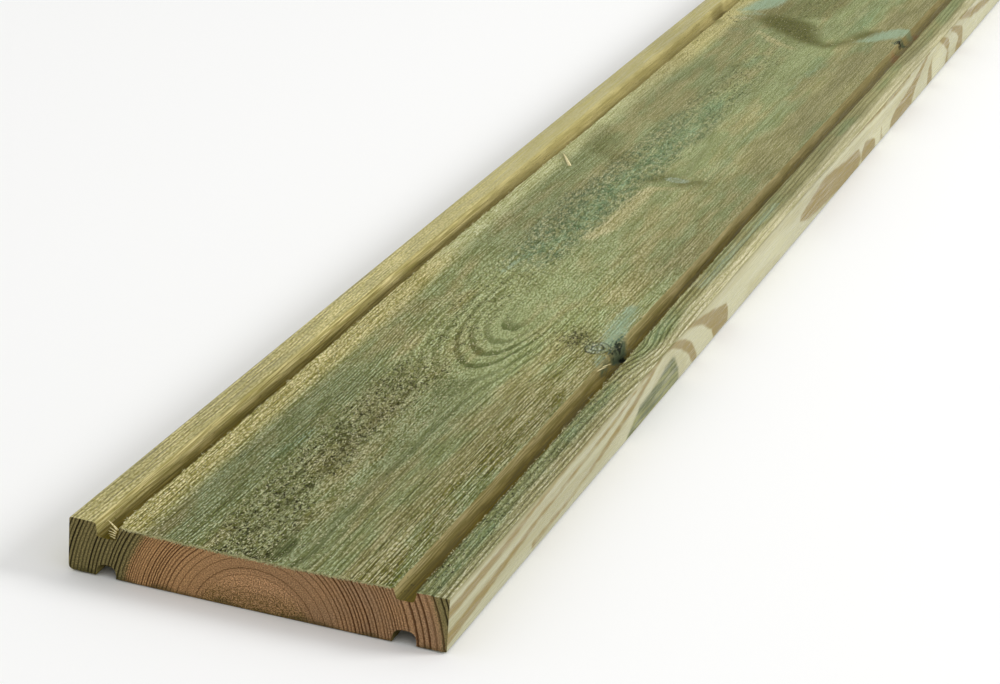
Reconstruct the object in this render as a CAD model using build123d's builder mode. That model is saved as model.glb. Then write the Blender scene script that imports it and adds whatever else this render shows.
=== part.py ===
"""Grooved roof board: one length of sawn and planed pine, in millimetres.

X runs across the board, Y along it and Z up from the underside, with the origin under the middle.
The section has a water groove near each edge of the upper face, and under each groove a
round-crowned drip slot in the underside.
"""

from build123d import *
from math import radians, tan
import os

# Board stock
board_length = 1800.0
board_width = 145.0
board_thickness = 21.0

# Left water groove: the strip outside it, its width at the face, its depth, and how far
# each wall leans out from upright, in degrees
left_strip_width = 10.6
left_groove_width = 9.6
left_groove_depth = 5.3
left_groove_outer_lean = 5.0
left_groove_inner_lean = 14.0

# Right water groove, cut shallower and with more open walls
right_strip_width = 11.8
right_groove_width = 9.0
right_groove_depth = 4.0
right_groove_outer_lean = 18.0
right_groove_inner_lean = 20.0

# Drip slots in the underside: edge of the board to the slot, its width, height and crown rounding
left_slot_inset = 11.0
left_slot_width = 8.1
left_slot_height = 4.6
left_slot_crown_radius = 3.6
right_slot_inset = 11.2
right_slot_width = 9.1
right_slot_height = 5.1
right_slot_crown_radius = 3.9

# Roundings: the groove floors, the left strip's shoulder and arrises, and the right arrises
groove_floor_radius = 0.8
left_shoulder_radius = 1.3
left_top_arris_radius = 0.8
left_bottom_arris_radius = 2.0
right_arris_radius = 0.4

LEFT = -1
RIGHT = 1
half_width = board_width / 2


def groove_corners(side, strip, width, depth, outer_lean, inner_lean):
    """Outer shoulder, outer floor corner, inner floor corner and inner lip of a water groove."""
    shoulder_x = half_width - strip
    lip_x = shoulder_x - width
    outer_floor_x = shoulder_x - depth * tan(radians(outer_lean))
    inner_floor_x = lip_x + depth * tan(radians(inner_lean))
    floor_z = board_thickness - depth
    return [
        (side * shoulder_x, board_thickness),
        (side * outer_floor_x, floor_z),
        (side * inner_floor_x, floor_z),
        (side * lip_x, board_thickness),
    ]


def slot_corners(side, inset, width, height):
    """Outer mouth, outer crown corner, inner crown corner and inner mouth of a drip slot."""
    outer_x = half_width - inset
    inner_x = outer_x - width
    return [
        (side * outer_x, 0),
        (side * outer_x, height),
        (side * inner_x, height),
        (side * inner_x, 0),
    ]


left_groove = groove_corners(
    LEFT,
    left_strip_width,
    left_groove_width,
    left_groove_depth,
    left_groove_outer_lean,
    left_groove_inner_lean,
)
right_groove = groove_corners(
    RIGHT,
    right_strip_width,
    right_groove_width,
    right_groove_depth,
    right_groove_outer_lean,
    right_groove_inner_lean,
)
left_slot = slot_corners(LEFT, left_slot_inset, left_slot_width, left_slot_height)
right_slot = slot_corners(RIGHT, right_slot_inset, right_slot_width, right_slot_height)

# Each rounding is a corner of the section and its radius
roundings = [
    (left_groove[0], left_shoulder_radius),
    (left_groove[1], groove_floor_radius),
    (left_groove[2], groove_floor_radius),
    (right_groove[1], groove_floor_radius),
    (right_groove[2], groove_floor_radius),
    (left_slot[1], left_slot_crown_radius),
    (left_slot[2], left_slot_crown_radius),
    (right_slot[1], right_slot_crown_radius),
    (right_slot[2], right_slot_crown_radius),
    ((-half_width, board_thickness), left_top_arris_radius),
    ((-half_width, 0), left_bottom_arris_radius),
    ((half_width, board_thickness), right_arris_radius),
    ((half_width, 0), right_arris_radius),
]

# The board: its section drawn on the cross plane and run out both ways along the length
with BuildPart() as roof_board:
    with BuildSketch(Plane.XZ) as section:
        Rectangle(board_width, board_thickness, align=(Align.CENTER, Align.MIN))
        for corners in (left_groove, right_groove, left_slot, right_slot):
            with BuildLine():
                Polyline(*corners, close=True)
            make_face(mode=Mode.SUBTRACT)
        for corner, radius in roundings:
            fillet(section.vertices().sort_by_distance(corner)[0], radius=radius)
    extrude(amount=board_length / 2, both=True)

roof_board.part.label = "roof_board"
os.makedirs("parts", exist_ok=True)
export_step(roof_board.part, "parts/roof_board.step")
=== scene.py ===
import math

import bpy
import numpy as np
from mathutils import Matrix, Vector
from mathutils.geometry import delaunay_2d_cdt


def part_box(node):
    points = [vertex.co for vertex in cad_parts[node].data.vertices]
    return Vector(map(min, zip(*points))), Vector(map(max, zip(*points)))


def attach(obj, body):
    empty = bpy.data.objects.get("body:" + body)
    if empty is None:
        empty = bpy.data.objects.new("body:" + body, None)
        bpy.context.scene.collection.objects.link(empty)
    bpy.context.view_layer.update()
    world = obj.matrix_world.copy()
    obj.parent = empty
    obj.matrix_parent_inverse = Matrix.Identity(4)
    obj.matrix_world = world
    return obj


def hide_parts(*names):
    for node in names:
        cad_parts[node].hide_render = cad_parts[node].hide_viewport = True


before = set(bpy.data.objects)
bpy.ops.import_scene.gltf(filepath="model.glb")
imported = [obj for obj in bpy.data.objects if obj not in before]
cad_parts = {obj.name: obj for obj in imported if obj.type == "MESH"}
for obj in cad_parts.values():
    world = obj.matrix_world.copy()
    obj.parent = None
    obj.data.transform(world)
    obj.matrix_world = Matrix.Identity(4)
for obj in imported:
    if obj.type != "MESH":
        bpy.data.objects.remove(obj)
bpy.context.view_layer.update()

# Roof board
# One length of pressure-treated pine, resawn on the upper face and planed on the edges. A water
# groove is milled near each edge above, and a round-crowned drip slot below each groove. The wood
# has cupped a little since it was cut, so its edges stand higher than its middle.
mm = 0.001
stock_low, stock_high = (np.array(corner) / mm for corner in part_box("roof_board"))
stock_width, stock_length, stock_height = stock_high - stock_low
half_width = stock_width / 2
end_room = 0.9
board_length = stock_length - 2 * end_room
near_end = stock_low[1] + end_room
face_height = 20.3
cup_rise = 0.5
field_hollow = 0.75

left_shoulder_x = -61.9
left_floor_outer_x = -61.4
left_floor_inner_x = -53.6
left_lip_x = -52.3
left_floor_z = face_height - 5.3
right_lip_x = 51.7
right_floor_inner_x = 53.2
right_floor_outer_x = 59.4
right_shoulder_x = 60.7
right_floor_z = face_height - 4.0
right_slot_outer_x = 61.3
right_slot_inner_x = 52.2
right_slot_height = 5.1
left_slot_outer_x = -61.5
left_slot_inner_x = -53.4
left_slot_height = 4.6
torn_low_x = -25.0
torn_high_x = 5.0
knot_low_x = 39.0

finishes = ["planed_strip", "groove", "sawn_face", "sawn_strip", "planed_edge", "underside", "end_grain"]
STRIP, GROOVE, FACE, RIGHT_STRIP, EDGE, UNDERSIDE, END = range(len(finishes))

# Each corner of the section: x, z, rounding, then the finish and step of the run that follows it
section_corners = [
    (-half_width, 0.0, 2.0, STRIP, 3.0),
    (-half_width, face_height, 0.8, STRIP, 1.5),
    (left_shoulder_x, face_height, 1.3, GROOVE, 1.3),
    (left_floor_outer_x, left_floor_z, 0.8, GROOVE, 1.5),
    (left_floor_inner_x, left_floor_z, 0.8, GROOVE, 1.3),
    (left_lip_x, face_height, 0.0, FACE, 1.2),
    (torn_low_x, face_height, 0.0, FACE, 0.75),
    (torn_high_x, face_height, 0.0, FACE, 1.4),
    (knot_low_x, face_height, 0.0, FACE, 1.0),
    (right_lip_x, face_height, 0.0, GROOVE, 1.2),
    (right_floor_inner_x, right_floor_z, 0.8, GROOVE, 1.4),
    (right_floor_outer_x, right_floor_z, 0.8, GROOVE, 1.2),
    (right_shoulder_x, face_height, 0.0, RIGHT_STRIP, 1.1),
    (half_width, face_height, 0.4, EDGE, 1.7),
    (half_width, 0.0, 0.4, UNDERSIDE, 6.0),
    (right_slot_outer_x, 0.0, 0.0, GROOVE, 2.0),
    (right_slot_outer_x, right_slot_height, 3.9, GROOVE, 2.0),
    (right_slot_inner_x, right_slot_height, 3.9, GROOVE, 2.0),
    (right_slot_inner_x, 0.0, 0.0, UNDERSIDE, 11.0),
    (left_slot_inner_x, 0.0, 0.0, GROOVE, 2.0),
    (left_slot_inner_x, left_slot_height, 3.6, GROOVE, 2.0),
    (left_slot_outer_x, left_slot_height, 3.6, GROOVE, 2.0),
    (left_slot_outer_x, 0.0, 0.0, UNDERSIDE, 6.0),
]


def rounded_outline(corners):
    """Points round a closed section with rounded corners, and the finish of the stretch after each."""
    places = [np.array(corner[:2]) for corner in corners]
    bends = []
    for i, corner in enumerate(corners):
        radius = corner[2]
        before = places[i - 1] - places[i]
        after = places[(i + 1) % len(places)] - places[i]
        before /= np.linalg.norm(before)
        after /= np.linalg.norm(after)
        if radius == 0:
            bends.append([places[i]])
            continue
        tangent = radius / math.tan(math.acos(np.clip(before @ after, -1, 1)) / 2)
        pieces = max(2, math.ceil(radius * 1.1))
        share = np.linspace(0, 1, pieces + 1)[:, None]
        start, end = places[i] + before * tangent, places[i] + after * tangent
        bends.append(list((1 - share) ** 2 * start + 2 * share * (1 - share) * places[i] + share**2 * end))
    points, stretch_finish = [], []
    for i, corner in enumerate(corners):
        finish, step = corner[3:]
        run_start, run_end = bends[i][-1], bends[(i + 1) % len(bends)][0]
        pieces = max(1, math.ceil(np.linalg.norm(run_end - run_start) / step))
        run = [run_start + (run_end - run_start) * k / pieces for k in range(1, pieces)]
        points += bends[i] + run
        stretch_finish += [finish] * (len(bends[i]) + len(run))
    return np.array(points), stretch_finish


def ease(low, high, value):
    """0 below low, 1 above high and a smooth rise between."""
    share = np.clip((value - low) / (high - low), 0, 1)
    return share * share * (3 - 2 * share)


def bell(value, centre, reach):
    """1 at the centre, falling to a third at the reach."""
    return np.exp(-(((value - centre) / reach) ** 2))


def noise(seed, first, second):
    """Smooth noise from -1 to 1 over two coordinates, with about one bump to a unit."""
    table = np.random.default_rng(seed).uniform(-1, 1, (256, 256))
    low_first = np.floor(first).astype(int)
    low_second = np.floor(second).astype(int)
    share_first = ease(0, 1, first - low_first)
    share_second = ease(0, 1, second - low_second)
    rows = [low_first % 256, (low_first + 1) % 256]
    columns = [low_second % 256, (low_second + 1) % 256]
    near = table[rows[0], columns[0]] * (1 - share_first) + table[rows[1], columns[0]] * share_first
    far = table[rows[0], columns[1]] * (1 - share_first) + table[rows[1], columns[1]] * share_first
    return near * (1 - share_second) + far * share_second


def torn_share(x, y):
    """How torn the sawn face is: a band left of the middle where the saw met rising grain."""
    low = np.interp(y, [0, 60, 200, 330, 420, 520, 700, 1800], [-21, -23, -24, -28, -30, -26, -20, -20])
    high = np.interp(y, [0, 35, 60, 200, 330, 520, 700, 1800], [3, 3, -3, -1, -4, 1, 3, 3])
    wander = 2.5 * noise(11, x / 9, y / 14)
    stations = [0, 180, 215, 310, 350, 500, 560, 760, 1800]
    strength = np.interp(y, stations, [0.9, 0.9, 0.5, 0.4, 0.85, 0.85, 0.7, 0.3, 0.25])
    return strength * ease(low - 4, low + 4, x + wander) * (1 - ease(high - 4, high + 3, x + wander))


def pit_depth(x, y):
    """How deep the saw tore the grain out, in mm."""
    clumps = 0.62 + 0.5 * noise(2, x / 4, y / 7)
    holes = np.maximum(noise(1, x / 0.95 + y / 11, y / 1.6) - 0.2, 0) * 1.7
    return torn_share(x, y) * np.maximum(clumps, 0) * holes


def shape_of(x, y, z):
    """Where a point of the straight flat section lies on the real board."""
    on_top = ease(face_height - 0.6, face_height - 0.1, z)
    on_field = on_top * ease(left_lip_x - 0.4, left_lip_x + 0.1, x)
    on_field = on_field * (1 - ease(right_lip_x - 0.1, right_lip_x + 0.4, x))
    on_strip = on_top * ease(right_shoulder_x - 0.2, right_shoulder_x + 0.4, x) * (1 - ease(70, 72, x))
    lift = cup_rise * (x / half_width) ** 2 - field_hollow * on_field * (1 - (x / right_lip_x) ** 2)
    # torn grain, saw marks and the nap of the sawn faces
    tufts = np.maximum(noise(3, x / 1.2, y / 2.8) - 0.25, 0)
    lift = lift + on_field * (0.5 * torn_share(x, y) * tufts - pit_depth(x, y))
    rough = 0.1 * noise(4, x / 1.3, y / 5) + 0.06 * noise(8, x / 2.6, y / 2.4)
    lift = lift + (on_field + 1.2 * on_strip) * rough
    lift = lift + on_field * 0.03 * np.sin(y / 4.7 * 2 * math.pi)
    # ragged lips, which hang over the grooves by a fibre or two
    left_lip = bell(x, left_lip_x, 1.0) * on_top
    right_lip = bell(x, right_lip_x, 0.9) * on_top
    strip_lip = bell(x, right_shoulder_x, 0.9) * on_top
    ragged = 0.6 * noise(5, y / 2.2, x * 0 + 3) + 0.5 * noise(6, y / 11, x * 0 + 7)
    left_hang = 0.9 * ease(1, 8, y) + 1.4 * bell(y, 330, 170)
    strip_hang = 0.5 + 1.6 * ease(180, 360, y) * (1 - 0.4 * ease(560, 700, y))
    shift = left_lip * (0.45 * ragged - left_hang) + right_lip * (0.3 * ragged - 0.7 * bell(y, 300, 150))
    shift = shift + strip_lip * (0.3 * ragged - strip_hang)
    lift = lift - (left_lip + right_lip + strip_lip) * 0.2 * np.abs(ragged)
    # the torn knot at the right groove, with its hole
    knot_rim = bell(x, 46, 5) * bell(y, 249, 9) * on_top
    knot_hole = bell(x, 50.4, 1.6) * bell(y, 256, 3) + bell(x, 55, 2.0) * bell(y, 251, 3.5)
    above_slots = ease(right_floor_z - 1, right_floor_z - 0.2, z)
    knot_plug = bell(x, 54, 3) * (bell(y, 234, 5) + 1.3 * bell(y, 258, 5)) * above_slots * (1 - on_top)
    lift = lift + 0.35 * knot_rim * (1 + noise(7, x / 1.6, y / 1.9)) + 0.9 * knot_plug
    lift = lift - 1.5 * knot_hole * above_slots
    shift = shift + 1.6 * bell(x, 52, 2.6) * bell(y, 254, 8) * above_slots
    # the left edge bows out a little along its length
    bow = 0.6 * ((np.minimum(y, 900) - 380) / 380) ** 2
    shift = shift + bow * ease(-40, -70, x)
    new_z = np.clip(z + lift, 0, stock_height)
    return x + shift, y + near_end, new_z


# The grown pattern: rings round a pith that runs below the underside. They are wide near the pith and
# narrow further out, and widen again at the right edge. The pith rises where branches left the trunk.
pith_stations = [0, 40, 165, 192, 202, 217, 232, 247, 262, 300, 380, 640, 740, 800, 860, 1000, 1800]
pith_heights = [-8, -8.9, -8.8, -7.4, -5.0, -2.7, -0.4, 1.9, 3.2, 4.4, 3.0, -4, -5, 1, 2, -6, -6]
inner_ring_radii = [8.0, 10.4, 12.8, 15.2, 17.5, 19.8, 22.1, 24.4, 28.3, 31.2, 33.6, 35.4, 36.9]


def ring_radii(outer_runs):
    """The outer radius of each ring, given runs of rings beyond the inner ones as (end, width)."""
    draw = np.random.default_rng(40)
    radii = list(inner_ring_radii)
    for end, width in outer_runs:
        while radii[-1] < end:
            radii.append(radii[-1] + width * draw.uniform(0.72, 1.28))
    return radii


left_rings = ring_radii([(51, 0.92), (140, 1.5)])
right_rings = ring_radii([(59, 1.3), (74, 2.6), (140, 1.7)])


def pith_distance(x, y, z):
    """How far a point of the board lies from the pith, in mm."""
    fine = np.arange(-40, stock_length + 40, 2.0)
    window = np.hanning(15) / np.hanning(15).sum()
    smooth = np.convolve(np.interp(fine, pith_stations, pith_heights), window, "same")
    pith_x = 0.4 + 4.0 * bell(x, 4, 16) * ease(0, 14, y) * (1 - ease(400, 700, y))
    radius = np.hypot(x - pith_x, z - np.interp(y, fine, smooth))
    radius = radius - 4.5 * bell(x, 62, 12) * bell(y, 258, 20)
    return radius + 0.2 * noise(21, x / 14, y / 60) + 0.12 * noise(22, x / 5, y / 22)


def ring_number(x, y, z):
    """The growth ring that a point of the board lies in."""
    radius = pith_distance(x, y, z)
    side = ease(-18, 18, x)
    left = np.interp(radius, left_rings, np.arange(len(left_rings)))
    right = np.interp(radius, right_rings, np.arange(len(right_rings)))
    return left * (1 - side) + right * side


def ring_width(x, y, z):
    """The width of the growth ring that a point of the board lies in, in mm."""
    radius = pith_distance(x, y, z)
    radii = [left_rings, right_rings]
    left, right = (np.interp(radius, ends[1:], np.diff(ends)) for ends in radii)
    return np.where(x < 0, left, right)


def inside(polygon, points):
    """Which points lie inside a closed polygon."""
    within = np.zeros(len(points), bool)
    for (ax, az), (bx, bz) in zip(polygon, np.roll(polygon, -1, axis=0)):
        crosses = (az > points[:, 1]) != (bz > points[:, 1])
        if az != bz:
            within ^= crosses & (points[:, 0] < (bx - ax) * (points[:, 1] - az) / (bz - az) + ax)
    return within


def end_cap(loop, spacing):
    """The sawn end: new points inside the section's loop, and triangles over all the points."""
    across = np.arange(-half_width, half_width, spacing)
    upward = np.arange(0, face_height, spacing)
    grid = np.stack(np.meshgrid(across, upward), -1).reshape(-1, 2) + 0.4 * spacing
    grid = grid[inside(loop, grid)]
    gaps = np.min(np.linalg.norm(grid[:, None] - loop[None], axis=2), axis=1)
    points = np.vstack((loop, grid[gaps > 0.6 * spacing]))
    edges = [(i, (i + 1) % len(loop)) for i in range(len(loop))]
    made = delaunay_2d_cdt([tuple(p) for p in points], edges, [], 0, 1e-7, True)
    source = [ids[0] for ids in made[3]]
    triangles = np.array([[source[i] for i in face] for face in made[2]])
    centres = points[triangles].mean(axis=1)
    return points[len(loop):], triangles[inside(loop, centres)]


# Stations along the board: close together at the near end, where the camera looks, and wider beyond
station_steps = [
    (0, 40, 0.95),
    (40, 215, 1.2),
    (215, 275, 1.4),
    (275, 330, 2.6),
    (330, 540, 3.1),
    (540, 830, 5.0),
    (830, 900, 8.0),
    (900, board_length, 22.0),
]
stations = np.concatenate([np.arange(start, end, step) for start, end, step in station_steps])
stations = np.append(stations[stations < board_length - 3], board_length)
outline, stretch_finish = rounded_outline(section_corners)
column_count = len(outline)
station_count = len(stations)
flat_x = np.tile(outline[:, 0], (station_count, 1))
flat_z = np.tile(outline[:, 1], (station_count, 1))
along = np.tile(stations[:, None], (1, column_count))
x, y, z = shape_of(flat_x, along, flat_z)
vertices = np.stack((x, y, z), -1).reshape(-1, 3)
flat = np.stack((flat_x, along, flat_z), -1).reshape(-1, 3)

# Each face has its corners, its finish and its place on an unrolled map of the surface, where the
# near half of the board gets more room than the far half and the ends lie above
girth = np.append(0, np.cumsum(np.linalg.norm(np.roll(outline, -1, axis=0) - outline, axis=1)))
half_length = 900.0
map_gap = 6.0
map_high = half_length + 2 * map_gap + face_height + cup_rise
near_share = 0.64
faces, face_finish, map_places = [], [], []
columns = np.arange(column_count)
next_columns = (columns + 1) % column_count
for j in range(station_count - 1):
    row, next_row = j * column_count, (j + 1) * column_count
    corners = np.stack((row + columns, row + next_columns, next_row + next_columns, next_row + columns), -1)
    faces += corners.tolist()
    face_finish += stretch_finish
    in_far_half = stations[j] >= half_length
    first_u = near_share + 0.005 if in_far_half else 0.0
    wide = 1 - near_share - 0.01 if in_far_half else near_share
    across = first_u + wide * girth / girth[-1]
    up = (stations[j:j + 2] - half_length * in_far_half) / map_high
    low, high = np.full(column_count, up[0]), np.full(column_count, min(up[1], half_length / map_high))
    near, far = across[:-1], across[1:]
    map_places.append(np.stack((near, low, far, low, far, high, near, high), -1).reshape(-1, 2))
for station, spacing in ((0, 1.3), (station_count - 1, 4.0)):
    loop = np.column_stack((x[station], z[station]))
    inner, triangles = end_cap(loop, spacing)
    here = np.arange(station * column_count, (station + 1) * column_count)
    index = np.append(here, np.arange(len(vertices), len(vertices) + len(inner)))
    vertices = np.vstack((vertices, np.insert(inner, 1, y[station, 0], axis=1)))
    flat = np.vstack((flat, np.insert(inner, 1, stations[station], axis=1)))
    triangles = triangles if station == 0 else triangles[:, ::-1]
    faces += index[triangles].tolist()
    face_finish += [END] * len(triangles)
    places = np.vstack((loop, inner))[triangles].reshape(-1, 2)
    first_u = 0.01 if station == 0 else 0.51
    across = first_u + 0.48 * (places[:, 0] + half_width) / stock_width
    map_places.append(np.column_stack((across, (half_length + map_gap + places[:, 1]) / map_high)))

board_mesh = bpy.data.meshes.new("roof_board_visual")
board_mesh.from_pydata(vertices * mm, [], faces)
board_mesh.polygons.foreach_set("material_index", face_finish)
board_map = board_mesh.uv_layers.new(name="OFBake")
board_map.uv.foreach_set("vector", np.vstack(map_places).astype(np.float32).ravel())
board_mesh.shade_smooth()
board_mesh.set_sharp_from_angle(angle=math.radians(50))
board = bpy.data.objects.new("roof_board_visual", board_mesh)
bpy.context.collection.objects.link(board)


def stroke(first, second, points):
    """How far inside a painted line each place lies, in mm. The points are first, second, half width."""
    best = np.full(np.shape(first), -9.0)
    for (a, b, wide), (c, d, next_wide) in zip(points, points[1:]):
        share = ((first - a) * (c - a) + (second - b) * (d - b)) / ((c - a) ** 2 + (d - b) ** 2)
        share = np.clip(share, 0, 1)
        gap = np.hypot(first - a - share * (c - a), second - b - share * (d - b))
        best = np.maximum(best, wide + share * (next_wide - wide) - gap)
    return best


def strokes(first, second, lines):
    """How far inside the nearest of several painted lines each place lies, in mm."""
    return np.maximum.reduce([stroke(first, second, points) for points in lines])


# Late wood where it comes out on the right edge, as station, height and half width of each band: two
# rings that climb from the near end to the knot, the rings beyond it, and broad patches further on
edge_bands = [
    [(-2, 14.6, 2.4), (47, 15.8, 1.9), (94, 18.3, 1.0), (132, 20.1, 0.8), (190, 21.2, 0.6)],
    [(-2, 4.6, 2.8), (47, 8.0, 2.0), (94, 11.4, 1.2), (141, 13.6, 1.0), (189, 15.8, 1.0), (236, 20.6, 0.8)],
    [(90, 2.6, 1.4), (141, 4.4, 0.8), (165, 6.6, 1.1), (189, 9.8, 1.6), (212, 12.6, 1.7), (250, 21.0, 1.2)],
    [(257, 22.0, 1.5), (266, 20.4, 1.8), (283, 14.8, 2.4), (295, 9.0, 2.8), (304, 1.0, 3.2)],
    [(279, 22.5, 0.8), (297, 19.3, 1.3), (314, 15.6, 2.4), (332, 9.6, 5.0), (346, 1.5, 11.0)],
    [(486, 9.2, 1.8), (506, 8.8, 5.4), (530, 9.4, 7.8), (546, 8.8, 7.4), (576, 6.0, 6.8), (604, 4.4, 7.0)],
    [(622, 4.0, 6.8), (641, 1.0, 6.2)],
    [(659, 8.0, 0.8), (663, 0.0, 2.6)],
    [(690, 0.5, 7.4), (706, 1.0, 9.4), (728, 4.0, 8.4), (744, 12.2, 3.4)],
    [(744, 12.2, 3.4), (766, 18.6, 1.6), (778, 20.5, 0.8)],
    [(575, 21.4, 0.9), (615, 20.4, 1.1), (656, 19.2, 1.2), (700, 18.9, 1.2), (727, 20.2, 0.7)],
    [(784, 15.0, 1.5), (782, 8.0, 4.8), (784, 0.0, 7.0)],
    [(803, 21.5, 1.6), (818, 17.0, 2.4), (832, 11.0, 3.6), (834, 5.5, 3.8), (831, 0.0, 4.0)],
    [(832, 21.0, 1.2), (855, 14.8, 2.4), (870, 9.0, 4.6), (869, 3.0, 7.0), (864, 0.0, 8.0)],
    [(858, 21.4, 1.6), (881, 17.8, 2.4), (905, 14.4, 3.0), (950, 11.0, 2.4), (1100, 9.0, 1.4)],
    [(1100, 9.0, 1.4), (1300, 12.0, 1.2), (1500, 7.0, 1.6), (1800, 9.0, 1.3)],
    [(1000, 20.0, 0.8), (1200, 17.0, 0.9), (1450, 18.5, 0.9), (1800, 17.0, 0.9)],
]
edge_knot = [
    [(208, -1.0, 2.5), (224, 2.0, 7.2), (246, 3.0, 7.6), (258, 5.0, 8.8), (266, 5.6, 9.0), (271, 1.0, 8.4)],
]

# Stains on the upper face, as station, place across and half width. One dark line is a painted shadow beside
# the loose splinter, and two knot marks paint the shade in the holes of the torn knot.
blue_stains = [
    [(256, 48.0, 4.0), (266, 47.0, 4.2), (280, 45.9, 3.8), (301, 43.6, 2.6)],
    [(804, -48.0, 1.0), (815, -42.0, 5.0), (828, -38.0, 7.0), (843, -34.0, 5.0), (880, -33.0, 3.0)],
    [(776, 28.0, 0.0), (786, 36.0, 4.0), (800, 42.5, 7.0), (813, 49.0, 6.0)],
    [(660, 20.0, -1.0), (712, 22.5, -0.6)],
    [(316, -22.0, -0.4), (332, -20.5, 0.4), (345, -18.0, -0.6)],
    [(480, 5.5, -0.5), (484, 14.8, -0.5)],
    [(340, 63.5, 0.3), (470, 63.8, 0.3)],
    [(799, -45.0, 0.5), (803, -38.0, 1.6), (806, -33.0, 0.4)],
    [(229, 51.8, 0.2), (234, 50.2, 1.2), (240, 48.8, 1.0)],
    [(84, -30.0, -1.2), (98, -27.8, -0.4), (114, -26.6, -1.2)],
]
dark_stains_and_splinter_shadow = [
    [(800, -29.0, 4.0), (796, -21.0, 13.0), (792, -14.0, 16.0), (780, -6.0, 12.0), (766, 4.5, 8.0)],
    [(766, 4.5, 8.0), (760, 14.5, 5.0), (767, 20.5, 4.0), (776, 24.5, 3.0)],
    [(774, 24.5, 0.5), (790, 29.0, 5.0), (800, 32.0, 5.0), (808, 36.0, 1.0)],
    # painted shadow beside the loose splinter on the straw-coloured band
    [(491.5, -53.4, 0.8), (478, -45.0, 0.8)],
    [(246, 33.5, 0.5), (262, 34.5, 1.5)],
    [(690, -19.0, 0.5), (694, -18.0, 1.0)],
    [(473, -3.0, 2.0), (478, 0.5, 4.0), (484, 3.4, 3.0), (490, 7.6, 1.0)],
    [(476, 13.6, 2.6), (484, 20.6, 3.4)],
    [(386, 11.9, -1.2), (444, 10.3, -1.0), (496, 10.6, -1.0), (563, 8.8, -1.6)],
    [(797, -38.0, -0.6), (795, -33.0, 0.4)],
    [(794, -59.6, 2.0), (812, -58.4, 5.0)],
    [(764, -57.0, 3.0), (774, -53.0, 3.0)],
]
olive_stains = [
    [(545, -46.0, 3.0), (525, -41.0, 8.0), (508, -38.0, 7.0), (502, -28.0, 7.0), (498, -19.0, 3.0)],
    [(600, -40.0, -3.0), (690, -34.0, -1.0), (740, -34.0, -2.0)],
    [(810, -24.0, 10.0), (826, -14.0, 16.0), (850, -6.0, 14.0), (880, -4.0, 10.0)],
]
rust_stains = [
    [(242, 50.6, -0.2), (244, 50.2, 0.2)],
    [(792, -44.0, 0.6), (789, -38.0, 0.8)],
    [(772, 54.0, 2.0), (758, 56.0, 1.6)],
    [(812, 57.5, 2.0), (822, 55.0, 2.0)],
]
pale_stains = [
    [(380, -2.5, 2.0), (398, 1.6, 4.2), (428, 2.0, 4.0), (449, 2.0, 3.6), (463, 3.0, 3.0), (469, 11.0, 1.6)],
    [(768, -26.0, 1.0), (752, -12.0, 3.0), (744, 0.0, 1.0)],
    [(786, -47.0, 1.0), (790, -40.0, 2.6)],
]
teal_stains = [
    [(244, 53.6, 2.0), (250, 52.8, 3.6), (258, 51.2, 2.8), (267, 50.2, 0.8)],
    [(228, 53.4, 0.4), (234, 52.8, 1.0), (240, 51.8, 0.4)],
    [(786, 50.5, 1.0), (796, 53.5, 2.0)],
]
green_washes = [
    [(86, -29.5, 2.0), (100, -27.6, 3.0), (116, -26.5, 1.0)],
    [(330, -17.0, 0.0), (374, -14.0, 4.0), (459, -12.0, 5.0), (547, -8.6, 5.0), (660, -7.0, 2.0)],
    [(782, 21.6, 2.0), (805, 22.4, 5.0), (832, 22.4, 6.0), (867, 20.8, 6.0), (900, 20.0, 5.0)],
    [(763, -40.0, 2.0), (770, -32.0, 2.0)],
    [(734, 20.8, 4.0), (697, 22.3, 3.0)],
    [(717, -12.0, 4.0), (695, -13.0, 4.0)],
    [(470, 26.0, 1.0), (560, 22.0, 3.0), (640, 24.0, 1.0)],
    [(-4, 66.5, 3.0), (60, 65.5, 2.4), (120, 64.5, 1.0)],
    [(150, 64.0, 1.0), (250, 63.5, 2.0), (330, 64.5, 1.5)],
]
knot_marks_and_hole_shade = [
    # the first two paint the shade in the holes of the torn knot at the right groove
    [(248, 56.2, 0.8), (251, 55.0, 1.9), (253, 54.0, 0.8)],
    [(251, 51.8, 0.6), (255.5, 50.4, 1.6), (258, 50.2, 1.4)],
    [(244, 52.2, 0.2), (249, 51.2, 0.3)],
    [(6.9, 53.9, 0.1), (7.6, 54.2, 0.2)],
    [(12.5, 53.9, 0.1), (13.4, 54.2, 0.3)],
    [(791, 51.4, 1.4), (786, 52.2, 1.0)],
    [(792, -51.6, 0.2), (782, -45.3, 0.6), (778, -39.5, 0.6), (774, -31.1, 0.0)],
]

# Where each point of the surface lies on the flat section and on the grown wood
flat_x, along, flat_z = flat.T
true_x, true_y, true_z = vertices[:, 0], vertices[:, 1] - near_end, vertices[:, 2]
on_left = flat_x < 0
left_of_lip = flat_x < -53.5
on_left_strip = flat_x < -60
on_right_strip = ease(60, 61, flat_x)
near_part = 1 - ease(150, 225, along)
far_part = ease(310, 380, along)

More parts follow.
